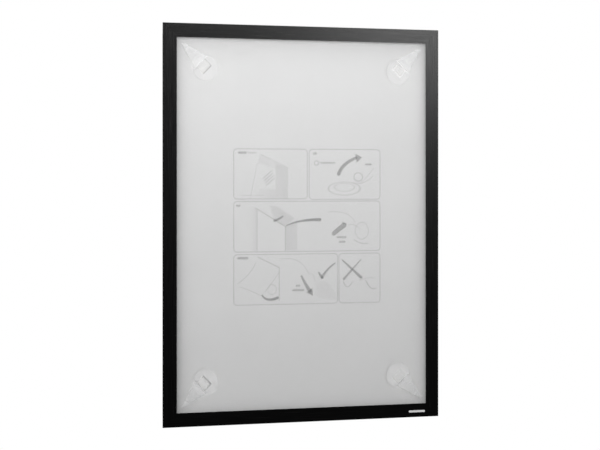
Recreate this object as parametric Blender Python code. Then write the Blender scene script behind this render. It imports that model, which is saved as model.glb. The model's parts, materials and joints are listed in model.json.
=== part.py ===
"""Magnetic poster frame for one A3 sheet, held on a wall by four removable adhesive pads.

A clear rear panel is stuck to the wall. The front is a matt window sheet with a black border film, and
it swings open like a page on a film hinge along its left edge. Magnetic strips behind the border pull the
front onto matching strips on the panel. Each corner of the panel sits on a round wall disc, joined by a
stretch-release pad whose pull tab comes through a slit and points at the corner of the frame.

Drawing space is x to the right, y up and z out of the wall, in metres. The empty wall_plane turns it into
the world, where +Z is up and the front looks along -Y. The origin is the middle of the frame on the wall.
"""

import math

import bmesh
import bpy
from mathutils import Matrix, Vector

# Outline of the frame, for a sheet of 0.297 x 0.420.
OUTER_WIDTH = 0.325
OUTER_HEIGHT = 0.445
BORDER = 0.0155

# The strips are narrower than the border, so that the sheet fits between them and the border hides its edge.
STRIP_WIDTH = 0.012

# Thickness of each layer.
GLUE_THICKNESS = 0.0002
DISC_THICKNESS = 0.0005
PAD_THICKNESS = 0.0005
PANEL_THICKNESS = 0.0004
STRIP_THICKNESS = 0.0007
WINDOW_THICKNESS = 0.0003
BORDER_FILM_THICKNESS = 0.00015
HINGE_FILM_THICKNESS = 0.00015
LABEL_THICKNESS = 0.0001
TAB_THICKNESS = 0.00025

# Clearance between layers that are bonded together on the real frame.
LAYER_GAP = 0.0001
STRIP_END_GAP = 0.0003

# Film hinge along the left edge.
HINGE_LEAF_WIDTH = 0.011
HINGE_FOLD_RADIUS = 0.00025
HINGE_SIDE_CLEARANCE = 0.0001

# Wall pads. Each is laid out along the diagonal that runs in from a corner of the frame.
PAD_INSET = 0.0486
DISC_RADIUS = 0.0158
DISC_FLAT_DISTANCE = 0.0075
DISC_ARC_STEPS = 48
GLUE_MARGIN = 0.0005
PAD_LENGTH = 0.011
PAD_WIDTH = 0.0136

# Pull tabs and the slits that they come through.
SLIT_WIDTH = 0.0006
SLIT_LENGTH = 0.0200
TAB_BASE_WIDTH = 0.0190
TAB_TIP_RADIUS = 0.0010
TAB_TIP_INSET = 0.0221
TAB_TIP_STEPS = 8
TAB_REST_LIFT = math.radians(2.0)
TAB_FOLD_RISE = 0.0003

# Instruction label in the middle of the rear panel.
LABEL_SIZE = 0.181
LABEL_OFFSET_X = 0.0063
LABEL_OFFSET_Y = -0.0025

CORNERS = {
    "top_left": (-1, 1),
    "top_right": (1, 1),
    "bottom_left": (-1, -1),
    "bottom_right": (1, -1),
}


def stacked(start, thicknesses):
    """Back and front depth of each layer in turn, LAYER_GAP apart."""
    layers = []
    back = start
    for thickness in thicknesses:
        layers.append((back, back + thickness))
        back += thickness + LAYER_GAP
    return layers


GLUE, DISC, PAD, PANEL, REAR_STRIP, FRONT_MAGNET, WINDOW, BORDER_FILM = stacked(
    0.0,
    [
        GLUE_THICKNESS,
        DISC_THICKNESS,
        PAD_THICKNESS,
        PANEL_THICKNESS,
        STRIP_THICKNESS,
        STRIP_THICKNESS,
        WINDOW_THICKNESS,
        BORDER_FILM_THICKNESS,
    ],
)
LABEL = (PANEL[1] + LAYER_GAP, PANEL[1] + LAYER_GAP + LABEL_THICKNESS)

# The hinge turns on the line where the closed front meets the rear strips.
HINGE_X = -OUTER_WIDTH / 2
HINGE_DEPTH = (REAR_STRIP[1] + FRONT_MAGNET[0]) / 2
LEAF_SEAT = HINGE_FILM_THICKNESS + LAYER_GAP
REAR_LEAF = (REAR_STRIP[1] - HINGE_FILM_THICKNESS, REAR_STRIP[1])
FRONT_LEAF = (FRONT_MAGNET[0], FRONT_MAGNET[0] + HINGE_FILM_THICKNESS)

LEFT = -OUTER_WIDTH / 2 + HINGE_SIDE_CLEARANCE
RIGHT = OUTER_WIDTH / 2
TOP = OUTER_HEIGHT / 2
BOTTOM = -OUTER_HEIGHT / 2
UPRIGHT = (BOTTOM + STRIP_WIDTH + STRIP_END_GAP, TOP - STRIP_WIDTH - STRIP_END_GAP)

# Distances along a corner's diagonal, from the corner of the frame.
DISC_CENTRE = PAD_INSET * math.sqrt(2)
DISC_FLAT = DISC_CENTRE - DISC_FLAT_DISTANCE
SLIT_CENTRE = DISC_FLAT - SLIT_WIDTH / 2
TAB_FOLD = DISC_FLAT - SLIT_WIDTH - LAYER_GAP
TAB_LENGTH = TAB_FOLD - TAB_TIP_INSET * math.sqrt(2)


def clear_scene():
    """Removes every object that the file opened with."""
    for existing in list(bpy.data.objects):
        bpy.data.objects.remove(existing, do_unlink=True)


def new_collection(name):
    """A collection linked into the scene."""
    made = bpy.data.collections.new(name)
    bpy.context.scene.collection.children.link(made)
    return made


def plastic(name, colour, roughness, alpha=1.0):
    """A Principled material for a film, sheet or magnetic strip."""
    made = bpy.data.materials.new(name)
    made.use_nodes = True
    shader = made.node_tree.nodes["Principled BSDF"]
    shader.inputs["Base Color"].default_value = (*colour, 1.0)
    shader.inputs["Roughness"].default_value = roughness
    shader.inputs["Metallic"].default_value = 0.0
    shader.inputs["Alpha"].default_value = alpha
    return made


def axis_empty(name, parent, matrix):
    """An empty that carries a sub-assembly, placed in its parent's space."""
    made = bpy.data.objects.new(name, None)
    made.empty_display_size = 0.01
    made.parent = parent
    made.matrix_basis = matrix
    parts.objects.link(made)
    return made


def place(piece, parent, location, material, collection):
    """Puts a piece in its parent's space and gives it its material."""
    piece.parent = parent
    piece.location = location
    piece.data.materials.append(material)
    collection.objects.link(piece)
    return piece


def block(name, parent, x_span, y_span, z_span, material, collection=None):
    """A plain rectangular piece, from its low to its high side on each axis of its parent."""
    spans = (x_span, y_span, z_span)
    size = Vector([high - low for low, high in spans])
    centre = Vector([(high + low) / 2 for low, high in spans])
    shape = bmesh.new()
    bmesh.ops.create_cube(shape, size=1.0, matrix=Matrix.Diagonal((*size, 1.0)))
    mesh = bpy.data.meshes.new(name)
    shape.to_mesh(mesh)
    shape.free()
    piece = bpy.data.objects.new(name, mesh)
    return place(piece, parent, centre, material, collection or parts)


def cut_sheet(name, parent, outlines, z_span, material, location=(0.0, 0.0)):
    """A flat piece cut from film: closed outlines filled in and given the film's thickness."""
    curve = bpy.data.curves.new(name, "CURVE")
    curve.dimensions = "2D"
    curve.fill_mode = "BOTH"
    curve.extrude = (z_span[1] - z_span[0]) / 2
    for outline in outlines:
        spline = curve.splines.new("POLY")
        spline.points.add(len(outline) - 1)
        for point, (x, y) in zip(spline.points, outline):
            point.co = (x, y, 0.0, 1.0)
        spline.use_cyclic_u = True
    piece = bpy.data.objects.new(name, curve)
    middle = (location[0], location[1], (z_span[0] + z_span[1]) / 2)
    return place(piece, parent, middle, material, parts)


def rectangle(left, right, bottom, top):
    """The four corners of a rectangle."""
    return [(left, bottom), (right, bottom), (right, top), (left, top)]


def flattened_circle(radius, flat_distance):
    """A circle about the origin with the part beyond x = -flat_distance cut off straight."""
    half_arc = math.pi - math.acos(flat_distance / radius)
    angles = [-half_arc + 2 * half_arc * i / DISC_ARC_STEPS for i in range(DISC_ARC_STEPS + 1)]
    return [(radius * math.cos(a), radius * math.sin(a)) for a in angles]


def tapered_tab(length, base_width, tip_radius):
    """A tab from x = 0 to x = length with straight flanks that touch a round tip."""
    tip_centre = length - tip_radius
    flank = math.atan2(base_width / 2 - tip_radius, tip_centre)
    sweep = math.pi / 2 - flank
    angles = [-sweep + 2 * sweep * i / TAB_TIP_STEPS for i in range(TAB_TIP_STEPS + 1)]
    tip = [(tip_centre + tip_radius * math.cos(a), tip_radius * math.sin(a)) for a in angles]
    return [(0.0, -base_width / 2), *tip, (0.0, base_width / 2)]


def strips(prefix, parent, shift, layer, left_layer, material):
    """Four magnetic strips behind the border, the upright ones between the level ones."""
    level = (LEFT, RIGHT)
    spans = {
        "top": (level, (TOP - STRIP_WIDTH, TOP), layer),
        "bottom": (level, (BOTTOM, BOTTOM + STRIP_WIDTH), layer),
        "left": ((LEFT, LEFT + STRIP_WIDTH), UPRIGHT, left_layer),
        "right": ((RIGHT - STRIP_WIDTH, RIGHT), UPRIGHT, layer),
    }
    for side, (x_span, y_span, z_span) in spans.items():
        moved = [tuple(end - offset for end in span) for span, offset in zip((x_span, y_span, z_span), shift)]
        block(f"{prefix}_{side}", parent, *moved, material)


def make_rear(wall_plane, corner_frames):
    """The panel on the wall side, its strips, its label and its half of the hinge."""
    panel = block("rear_panel", wall_plane, (LEFT, RIGHT), (BOTTOM, TOP), PANEL, panel_plastic)
    for name, frame in corner_frames.items():
        cutter = block(
            f"slit_cutter_{name}",
            frame,
            (SLIT_CENTRE - SLIT_WIDTH / 2, SLIT_CENTRE + SLIT_WIDTH / 2),
            (-SLIT_LENGTH / 2, SLIT_LENGTH / 2),
            (PANEL[0] - PANEL_THICKNESS, PANEL[1] + PANEL_THICKNESS),
            panel_plastic,
            cutters,
        )
        cutter.hide_render = True
        cutter.display_type = "WIRE"
        cut = panel.modifiers.new(f"slit_{name}", "BOOLEAN")
        cut.operation = "DIFFERENCE"
        cut.solver = "EXACT"
        cut.object = cutter

    thinned = (REAR_STRIP[0], REAR_STRIP[1] - LEAF_SEAT)
    strips("rear_strip", wall_plane, (0.0, 0.0, 0.0), REAR_STRIP, thinned, magnet_rubber)

    leaf_left = HINGE_X + HINGE_FOLD_RADIUS + LAYER_GAP
    leaf_span = (leaf_left, leaf_left + HINGE_LEAF_WIDTH)
    block("hinge_leaf_rear", wall_plane, leaf_span, UPRIGHT, REAR_LEAF, black_film)
    make_hinge_fold(wall_plane)

    half = LABEL_SIZE / 2
    block(
        "instruction_label",
        wall_plane,
        (LABEL_OFFSET_X - half, LABEL_OFFSET_X + half),
        (LABEL_OFFSET_Y - half, LABEL_OFFSET_Y + half),
        LABEL,
        clear_film,
    )


def make_hinge_fold(wall_plane):
    """The rounded fold of the hinge film, a thin bead that both leaves turn about."""
    bpy.ops.mesh.primitive_cylinder_add(
        vertices=16, radius=HINGE_FOLD_RADIUS, depth=UPRIGHT[1] - UPRIGHT[0]
    )
    fold = bpy.context.object
    fold.name = "hinge_fold"
    for holder in list(fold.users_collection):
        holder.objects.unlink(fold)
    fold.rotation_euler = (math.pi / 2, 0.0, 0.0)
    place(fold, wall_plane, (HINGE_X, sum(UPRIGHT) / 2, HINGE_DEPTH), black_film, parts)
    fold.data.shade_smooth()
    fold.data.set_sharp_from_angle(angle=math.radians(50))


def make_front(front_axis):
    """The hinged front: magnets, window sheet, border film and its half of the hinge."""
    shift = (HINGE_X, 0.0, HINGE_DEPTH)
    seated = (FRONT_MAGNET[0] + LEAF_SEAT, FRONT_MAGNET[1])
    strips("front_magnet", front_axis, shift, FRONT_MAGNET, seated, magnet_rubber)

    left, right = LEFT - HINGE_X, RIGHT - HINGE_X
    window_layer = (WINDOW[0] - HINGE_DEPTH, WINDOW[1] - HINGE_DEPTH)
    block("window_sheet", front_axis, (left, right), (BOTTOM, TOP), window_layer, matt_window)

    outer = rectangle(left, right, BOTTOM, TOP)
    inner = rectangle(left + BORDER, right - BORDER, BOTTOM + BORDER, TOP - BORDER)
    film_layer = (BORDER_FILM[0] - HINGE_DEPTH, BORDER_FILM[1] - HINGE_DEPTH)
    cut_sheet("border_film", front_axis, [outer, inner], film_layer, black_film)

    leaf_left = HINGE_FOLD_RADIUS + LAYER_GAP
    leaf_layer = (FRONT_LEAF[0] - HINGE_DEPTH, FRONT_LEAF[1] - HINGE_DEPTH)
    leaf_span = (leaf_left, leaf_left + HINGE_LEAF_WIDTH)
    block("hinge_leaf_front", front_axis, leaf_span, UPRIGHT, leaf_layer, black_film)


def make_wall_pad(name, frame):
    """One corner's wall disc, its glue, the release pad on it, and the film that runs out to the tab."""
    centre = (DISC_CENTRE, 0.0)
    disc = flattened_circle(DISC_RADIUS, DISC_FLAT_DISTANCE)
    glue = flattened_circle(DISC_RADIUS - GLUE_MARGIN, DISC_FLAT_DISTANCE - GLUE_MARGIN)
    cut_sheet(f"wall_disc_{name}", frame, [disc], DISC, pad_plastic, centre)
    cut_sheet(f"wall_glue_{name}", frame, [glue], GLUE, glue_film, centre)
    block(
        f"release_pad_{name}",
        frame,
        (DISC_FLAT, DISC_FLAT + PAD_LENGTH),
        (-PAD_WIDTH / 2, PAD_WIDTH / 2),
        PAD,
        glue_film,
    )
    block(
        f"tab_root_{name}",
        frame,
        (SLIT_CENTRE - TAB_THICKNESS / 2, SLIT_CENTRE + TAB_THICKNESS / 2),
        (-TAB_BASE_WIDTH / 2, TAB_BASE_WIDTH / 2),
        (PAD[0], PANEL[1] + TAB_FOLD_RISE),
        tab_film,
    )


def make_pull_tab(name, frame):
    """One corner's pull tab. It turns on its fold in front of the slit, and rests a little raised."""
    towards_corner = Matrix.Rotation(math.pi, 4, "Z")
    raised = Matrix.Rotation(-TAB_REST_LIFT, 4, "Y")
    at_fold = Matrix.Translation((TAB_FOLD, 0.0, PANEL[1] + TAB_FOLD_RISE))
    fold_axis = axis_empty(f"tab_fold_axis_{name}", frame, at_fold @ towards_corner @ raised)
    outline = tapered_tab(TAB_LENGTH, TAB_BASE_WIDTH, TAB_TIP_RADIUS)
    layer = (-TAB_THICKNESS / 2, TAB_THICKNESS / 2)
    cut_sheet(f"pull_tab_{name}", fold_axis, [outline], layer, tab_film)


def corner_frame(name, wall_plane, side, rise):
    """An empty on the wall at one corner of the frame, with x running in along the diagonal."""
    inward = Vector((-side, -rise, 0.0)).normalized()
    across = Vector((0.0, 0.0, 1.0)).cross(inward)
    turn = Matrix((inward, across, (0.0, 0.0, 1.0))).transposed().to_4x4()
    at_corner = Matrix.Translation((side * OUTER_WIDTH / 2, rise * OUTER_HEIGHT / 2, 0.0))
    return axis_empty(f"corner_{name}", wall_plane, at_corner @ turn)


clear_scene()
parts = new_collection("magnetic_poster_frame")
cutters = new_collection("cutters")

black_film = plastic("black_film", (0.012, 0.012, 0.013), 0.35)
magnet_rubber = plastic("magnet_rubber", (0.045, 0.040, 0.038), 0.65)
matt_window = plastic("matt_window", (0.80, 0.80, 0.80), 0.45, alpha=0.35)
panel_plastic = plastic("panel_plastic", (0.70, 0.70, 0.70), 0.50)
clear_film = plastic("clear_film", (0.78, 0.78, 0.78), 0.35)
pad_plastic = plastic("pad_plastic", (0.82, 0.82, 0.81), 0.40)
glue_film = plastic("glue_film", (0.76, 0.75, 0.71), 0.55)
tab_film = plastic("tab_film", (0.86, 0.86, 0.86), 0.30)

wall_plane = axis_empty("wall_plane", None, Matrix.Rotation(math.pi / 2, 4, "X"))
corner_frames = {
    name: corner_frame(name, wall_plane, side, rise) for name, (side, rise) in CORNERS.items()
}
make_rear(wall_plane, corner_frames)
for corner, frame in corner_frames.items():
    make_wall_pad(corner, frame)
    make_pull_tab(corner, frame)

hinge_place = Matrix.Translation((HINGE_X, 0.0, HINGE_DEPTH))
make_front(axis_empty("front_hinge_axis", wall_plane, hinge_place))
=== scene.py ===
# %% [markdown]
# # A magnetic poster frame that sticks to a wall
#
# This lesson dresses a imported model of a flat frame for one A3 sheet. The model already has every layer
# at its real size: a panel on the wall side, magnetic strips round its edge, a hinged front made of a
# matt sheet and a black border film, and a round wall pad with a pull tab in each corner. What is left to
# make is everything that gives the eye its clues: the film that bends at the hinge, the soft round edges
# of the pads, the printed mounting pictures, and above all the way light passes through one sheet of haze
# and then another.
#
# All sizes below are in metres, except where a name says otherwise. The wall is at y = 0, the room is
# towards -y, and z is up.

import json
import math

import bpy
import numpy as np
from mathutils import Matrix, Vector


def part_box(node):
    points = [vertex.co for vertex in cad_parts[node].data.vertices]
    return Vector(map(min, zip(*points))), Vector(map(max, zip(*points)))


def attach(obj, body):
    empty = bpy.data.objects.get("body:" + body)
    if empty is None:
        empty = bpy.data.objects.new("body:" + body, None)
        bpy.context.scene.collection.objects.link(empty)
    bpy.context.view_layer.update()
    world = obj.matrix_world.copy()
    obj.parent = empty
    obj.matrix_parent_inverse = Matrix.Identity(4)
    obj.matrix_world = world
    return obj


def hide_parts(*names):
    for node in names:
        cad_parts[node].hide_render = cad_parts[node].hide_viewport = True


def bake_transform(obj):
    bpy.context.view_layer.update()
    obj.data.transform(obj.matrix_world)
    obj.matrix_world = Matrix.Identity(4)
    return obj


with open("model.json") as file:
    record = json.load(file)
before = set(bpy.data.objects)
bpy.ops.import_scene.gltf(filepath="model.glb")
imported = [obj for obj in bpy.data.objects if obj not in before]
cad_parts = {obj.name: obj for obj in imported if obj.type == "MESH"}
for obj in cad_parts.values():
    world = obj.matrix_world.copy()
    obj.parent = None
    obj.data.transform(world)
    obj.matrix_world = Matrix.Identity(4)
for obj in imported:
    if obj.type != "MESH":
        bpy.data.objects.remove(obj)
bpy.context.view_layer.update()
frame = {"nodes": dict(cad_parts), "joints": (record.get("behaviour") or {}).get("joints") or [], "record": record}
nodes = frame["nodes"]
print("layers in the frame:", len(nodes))

# %% [markdown]
# ## Where everything is
#
# A label maker or a sign fitter works from the edges of the sheet, so that is how places are given here
# too. The outline comes from the border film, each pad's middle comes from the mount on the back of its
# wall disc, and each pull tab's fold comes from its joint. Nothing is typed in twice, so a change in the
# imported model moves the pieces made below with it.

# %% Outline, corners and layers
MM = 0.001

film_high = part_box("border_film")[1]
half_width = film_high.x
half_height = film_high.z

mount_places = {mount["name"]: mount["pos_m"] for mount in frame["record"]["mounts"]}
fold_places = {joint["child"]: joint["pos_m"] for joint in frame["joints"]}
CORNERS = ("top_left", "top_right", "bottom_left", "bottom_right")


def layer(node):
    """How far a layer's back and front are from the wall."""
    low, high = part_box(node)
    return -high.y, -low.y


def corner_place(corner, reach, across, depth):
    """Points near a corner's wall pad, as an array of x, y, z.

    reach is the distance from the pad's middle along the diagonal that runs out to the corner of the frame,
    across is the distance to the side of that diagonal, and depth is the distance from the wall."""
    middle = mount_places["wall_pad_" + corner]
    side, rise = math.copysign(1, middle[0]), math.copysign(1, middle[2])
    out = np.array((side, rise)) / math.sqrt(2)
    over = np.array((-rise, side)) / math.sqrt(2)
    reach, across, depth = np.broadcast_arrays(reach, across, depth)
    x = middle[0] + out[0] * reach + over[0] * across
    z = middle[2] + out[1] * reach + over[1] * across
    return np.stack((x, -depth, z), axis=-1)


print("outline in mm:", round(2 * half_width / MM, 1), "x", round(2 * half_height / MM, 1))

# %% [markdown]
# ## Two ways to make a closed skin
#
# Every new piece is one of two kinds of surface. A loft is a row of outlines with a skin between them: a
# film that bends, a disc whose edge is rounded. A slab is a sheet over a grid, with walls and a flat
# back: a pad with a raised pattern, a printed label. Both are worked out as whole arrays. Both end up
# closed, and both are turned so that their faces point out, which a quick sum over the triangles can
# tell: the volume comes out negative when they point in.

# %% Skins
def make_piece(name, points, quads, caps=(), values=None):
    """Makes an object from points, four-sided faces and flat end caps, with its faces pointing out.

    The volume inside is the sum over all triangles of a . (b x c) / 6, after each face is cut into
    triangles from its first corner. Where the sum is negative, every face is listed the other way round.
    values holds one array for each named attribute of the points."""
    fans = [quads[:, [0, 1, 2]], quads[:, [0, 2, 3]]]
    fans += [np.column_stack((np.full(len(cap) - 2, cap[0]), cap[1:-1], cap[2:])) for cap in caps]
    a, b, c = points[np.concatenate(fans)].transpose(1, 0, 2)
    volume = np.einsum("ij,ij->", a, np.cross(b, c)) / 6
    faces = quads.tolist() + [cap.tolist() for cap in caps]
    if volume < 0:
        faces = [face[::-1] for face in faces]
    mesh = bpy.data.meshes.new(name)
    mesh.from_pydata(points.tolist(), [], faces)
    for attribute, amounts in (values or {}).items():
        made = mesh.attributes.new(attribute, "FLOAT", "POINT")
        made.data.foreach_set("value", np.asarray(amounts, np.float32).ravel())
    mesh.shade_smooth()
    mesh.set_sharp_from_angle(angle=math.radians(35))
    piece = bpy.data.objects.new(name, mesh)
    bpy.context.scene.collection.objects.link(piece)
    return piece


def loft(name, rings, values=None):
    """A skin over a row of outlines, where rings[i, j] is point j of outline i, with both ends capped.

    Each face joins points j and j + 1 of one outline to the same two of the next."""
    count, around = rings.shape[:2]
    index = np.arange(count * around).reshape(count, around)
    low, high = index[:-1], index[1:]
    quads = np.stack((low, np.roll(low, -1, 1), np.roll(high, -1, 1), high), -1).reshape(-1, 4)
    return make_piece(name, rings.reshape(-1, 3), quads, (index[0, ::-1], index[-1]), values)


def slab(name, front, back, values=None, under_value=0.0):
    """A sheet with a shaped front and a flat back, and walls that join their rims.

    front[i, j] and back[i, j] are the two faces of the same spot. The rim is the grid's four sides in turn,
    and one flat face inside the rim of back closes the sheet. Its points all get under_value for every
    attribute."""
    rows, columns = front.shape[:2]
    index = np.arange(rows * columns).reshape(rows, columns)
    cells = (index[:-1, :-1], index[1:, :-1], index[1:, 1:], index[:-1, 1:])
    faces = np.stack(cells, -1).reshape(-1, 4)
    rim = np.concatenate((index[:-1, 0], index[-1, :-1], index[:0:-1, -1], index[0, :0:-1]))
    under = rows * columns + np.arange(len(rim))
    walls = np.stack((np.roll(rim, -1), rim, under, np.roll(under, -1)), -1)
    points = np.concatenate((front.reshape(-1, 3), back.reshape(-1, 3)[rim]))
    below = np.full(len(rim), under_value)
    carried = {key: np.append(amounts.ravel(), below) for key, amounts in (values or {}).items()}
    return make_piece(name, points, np.concatenate((faces, walls)), (under[::-1],), carried)


# %% [markdown]
# ## Colours and nodes
#
# Screen colours are picked as sRGB hex values, because that is how a person reads them off a swatch. A
# shader works with linear light, so one function turns them. Another adds a node, sets it up and links
# it, which keeps each recipe below short enough to read as a list of steps.

# %% Helpers for materials
def linear(colour):
    """Turns an sRGB hex colour into linear red, green, blue and an alpha of one."""
    channels = [int(colour[i : i + 2], 16) / 255 for i in (1, 3, 5)]
    lit = [c / 12.92 if c <= 0.04045 else ((c + 0.055) / 1.055) ** 2.4 for c in channels]
    return (*lit, 1.0)


def fill(tree, node, inputs):
    """Gives each input of a node a value or a link. A node stands for the first of its outputs in use."""
    for key, value in inputs.items():
        if isinstance(value, bpy.types.Node):
            value = next(output for output in value.outputs if output.enabled)
        if isinstance(value, bpy.types.NodeSocket):
            tree.links.new(value, node.inputs[key])
        else:
            node.inputs[key].default_value = value


def add(tree, kind, inputs=None, **settings):
    """Adds a shader node, sets its own settings and fills its inputs.

    A Mix node has its two inputs at 4 and 5 for vectors and at 6 and 7 for colours."""
    node = tree.nodes.new("ShaderNode" + kind)
    for key, value in settings.items():
        setattr(node, key, value)
    fill(tree, node, inputs or {})
    return node


def start_material(name, colour, roughness, ior=1.49, alpha=1.0, coat=0.0):
    """A plastic with its constant values on the shader's own sockets: its material, tree and shader."""
    material = bpy.data.materials.new(name)
    material.use_nodes = True
    tree = material.node_tree
    shader = tree.nodes["Principled BSDF"]
    fill(tree, shader, {"Base Color": linear(colour), "Roughness": roughness, "IOR": ior})
    fill(tree, shader, {"Alpha": alpha, "Coat Weight": coat})
    return material, tree, shader


def per_face(opacity):
    """The alpha of each face of a sheet that hides this share of what is behind it.

    Light crosses both faces, so what gets through is (1 - alpha) squared."""
    return 1 - math.sqrt(1 - opacity)


def dress(piece, material):
    """Gives a piece or a layer of the frame its finish."""
    mesh = piece.data
    if mesh.materials:
        piece.material_slots[0].material = material
    else:
        mesh.materials.append(material)


# %% [markdown]
# ## The black border film
#
# The border is a thin polyester film, black all through and calendered to a satin face. Rolling it leaves
# very fine lines along the web, so each side of the border has its lines along its own length, as if the
# frame were laid up from four strips. One noise pattern, stretched forty times longer than it is wide,
# does this. The lines are about 0.8 mm apart here, which is coarser than the real ones, because finer
# ones would vanish.
#
# At the lower right there is a small white print. A plain bar with round ends stands for it.

# %% Satin black polyester
LINE_PITCH = 0.8 * MM
LINE_STRETCH = 40
MARK_LENGTH = 20 * MM
MARK_RADIUS = 1.2 * MM
MARK_SOFT = 0.15 * MM
MARK_FROM_RIGHT = 26.5 * MM
MARK_FROM_BOTTOM = 6.6 * MM


def satin_black_polyester(name, with_mark):
    """Satin black film. The lines follow the nearest edge, so they meet at 45 degrees in the corners."""
    material, tree, shader = start_material(name, "#040404", 0.25, ior=1.5)
    place = add(tree, "TexCoord").outputs["Object"]
    axes = add(tree, "SeparateXYZ", {0: place}).outputs
    off_side = add(tree, "Math", {0: axes["X"]}, operation="ABSOLUTE")
    off_side = add(tree, "Math", {0: half_width, 1: off_side}, operation="SUBTRACT")
    off_top = add(tree, "Math", {0: axes["Z"]}, operation="ABSOLUTE")
    off_top = add(tree, "Math", {0: half_height, 1: off_top}, operation="SUBTRACT")
    upright = add(tree, "Math", {0: off_side, 1: off_top}, operation="LESS_THAN")
    fine, long = 1 / LINE_PITCH, 1 / (LINE_PITCH * LINE_STRETCH)
    level_lines = add(tree, "Mapping", {"Vector": place, "Scale": (long, fine, fine)})
    upright_lines = add(tree, "Mapping", {"Vector": place, "Scale": (fine, fine, long)})
    either = {"Factor": upright, 4: level_lines, 5: upright_lines}
    along = add(tree, "Mix", either, data_type="VECTOR")
    lines = add(tree, "TexNoise", {"Vector": along, "Scale": 1.0, "Detail": 3.0})
    spread = {"Value": lines, "From Min": 0.3, "From Max": 0.7, "To Min": 0.22, "To Max": 0.28}
    rough = add(tree, "MapRange", spread)
    relief = add(tree, "Bump", {"Strength": 0.12, "Distance": 0.02 * MM, "Height": lines})
    blacks = {"Factor": lines, 6: linear("#020202"), 7: linear("#060606")}
    shade = add(tree, "Mix", blacks, data_type="RGBA")
    if with_mark:
        shade = print_mark(tree, axes, shade)
    fill(tree, shader, {"Base Color": shade, "Roughness": rough, "Normal": relief})
    return material


def print_mark(tree, axes, shade):
    """White ink in a bar with round ends: everywhere within a radius of a short level line."""
    middle_x = half_width - MARK_FROM_RIGHT
    middle_z = MARK_FROM_BOTTOM - half_height
    beside = add(tree, "Math", {0: axes["X"], 1: middle_x}, operation="SUBTRACT")
    beside = add(tree, "Math", {0: beside}, operation="ABSOLUTE")
    reach = MARK_LENGTH / 2 - MARK_RADIUS
    past_end = add(tree, "Math", {0: beside, 1: reach}, operation="SUBTRACT")
    past_end = add(tree, "Math", {0: past_end, 1: 0.0}, operation="MAXIMUM")
    above = add(tree, "Math", {0: axes["Z"], 1: middle_z}, operation="SUBTRACT")
    offset = add(tree, "CombineXYZ", {"X": past_end, "Z": above})
    away = add(tree, "VectorMath", {0: offset}, operation="LENGTH")
    edge = {"Value": away, "From Min": MARK_RADIUS + MARK_SOFT, "From Max": MARK_RADIUS - MARK_SOFT}
    inked = add(tree, "MapRange", edge)
    inks = {"Factor": inked, 6: shade, 7: linear("#e9e9e9")}
    return add(tree, "Mix", inks, data_type="RGBA")


dress(nodes["border_film"], satin_black_polyester("satin_black_polyester_printed", True))
hinge_film = satin_black_polyester("satin_black_polyester", False)

# %% [markdown]
# ## Haze, and the painted shade along its edge
#
# The window is an anti-glare sheet. Its face is etched so fine that it scatters part of the light before
# it ever reaches the panel, and that veil is what makes everything behind it look pale and soft. A sheet
# like this is a plastic with an alpha: part veil, part clear.
#
# Close to the border both the window and the panel are painted darker. This painted shade stands for light
# that travels sideways inside the sheets and is lost in the black film, and for the shadow of the border,
# so it fades with the distance from the edge, as exp(-distance / fade). What each side leaves is
# multiplied, which gives the darker corners for free. Right under the top edge a painted gleam stands for
# light from above that comes in under the border.

# %% The fade along the border
# How fast the painted shade fades from each side, and the painted gleam right under the top edge.
EDGE_FADE = 5 * MM
TOP_FADE = 12 * MM
TOP_PAINTED_GLEAM = 0.4
TOP_PAINTED_GLEAM_FADE = 3 * MM
BORDER_WIDTH = 15.5 * MM

inner_side = half_width - BORDER_WIDTH
inner_top = half_height - BORDER_WIDTH


def painted_edge_shade(tree, place, left_painted_shade, right_painted_shade, level_painted_shade):
    """Painted shade and a painted gleam: how bright a spot is, from one in the middle to less near the opening's
    sides.

    Each side takes away its painted shade times exp(-distance / fade), and what is left is multiplied. The
    left side's painted shade is given at its bottom and at its top, as its painted shadow is deeper lower
    down. The top side also gets a painted gleam right at the border, for light from above coming in under it."""
    axes = add(tree, "SeparateXYZ", {0: place}).outputs
    from_left = add(tree, "Math", {0: axes["X"], 1: inner_side}, operation="ADD")
    from_right = add(tree, "Math", {0: inner_side, 1: axes["X"]}, operation="SUBTRACT")
    from_top = add(tree, "Math", {0: inner_top, 1: axes["Z"]}, operation="SUBTRACT")
    from_bottom = add(tree, "Math", {0: axes["Z"], 1: inner_top}, operation="ADD")
    low, high = left_painted_shade
    height = {"Value": axes["Z"], "From Min": -inner_top, "From Max": inner_top}
    sides = (
        (from_left, add(tree, "MapRange", height | {"To Min": low, "To Max": high}), EDGE_FADE),
        (from_right, right_painted_shade, EDGE_FADE),
        (from_top, level_painted_shade, TOP_FADE),
        (from_top, -TOP_PAINTED_GLEAM, TOP_PAINTED_GLEAM_FADE),
        (from_bottom, level_painted_shade, EDGE_FADE),
    )
    bright = 1.0
    for distance, loss, fade in sides:
        inside = add(tree, "Math", {0: distance, 1: 0.0}, operation="MAXIMUM")
        power = add(tree, "Math", {0: inside, 1: -1 / fade}, operation="MULTIPLY")
        fall = add(tree, "Math", {0: power}, operation="EXPONENT")
        lost = add(tree, "Math", {0: fall, 1: loss}, operation="MULTIPLY")
        kept = add(tree, "Math", {0: 1.0, 1: lost}, operation="SUBTRACT")
        bright = add(tree, "Math", {0: bright, 1: kept}, operation="MULTIPLY")
    return bright


# %% Anti-glare window sheet
WINDOW_OPACITY = 0.2
GRAIN = 0.5 * MM

# The painted shade at the left side's bottom and top, at the right side, and at the two level sides.
WINDOW_PAINTED_SHADE = ((0.6, 0.4), 0.45, 0.26)


def shaded_colour(tree, bright, colour):
    """A colour dimmed by a factor that changes over the sheet: the painted shade along the border."""
    shades = {"Factor": bright, 6: linear("#000000"), 7: linear(colour)}
    return add(tree, "Mix", shades, data_type="RGBA")


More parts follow.
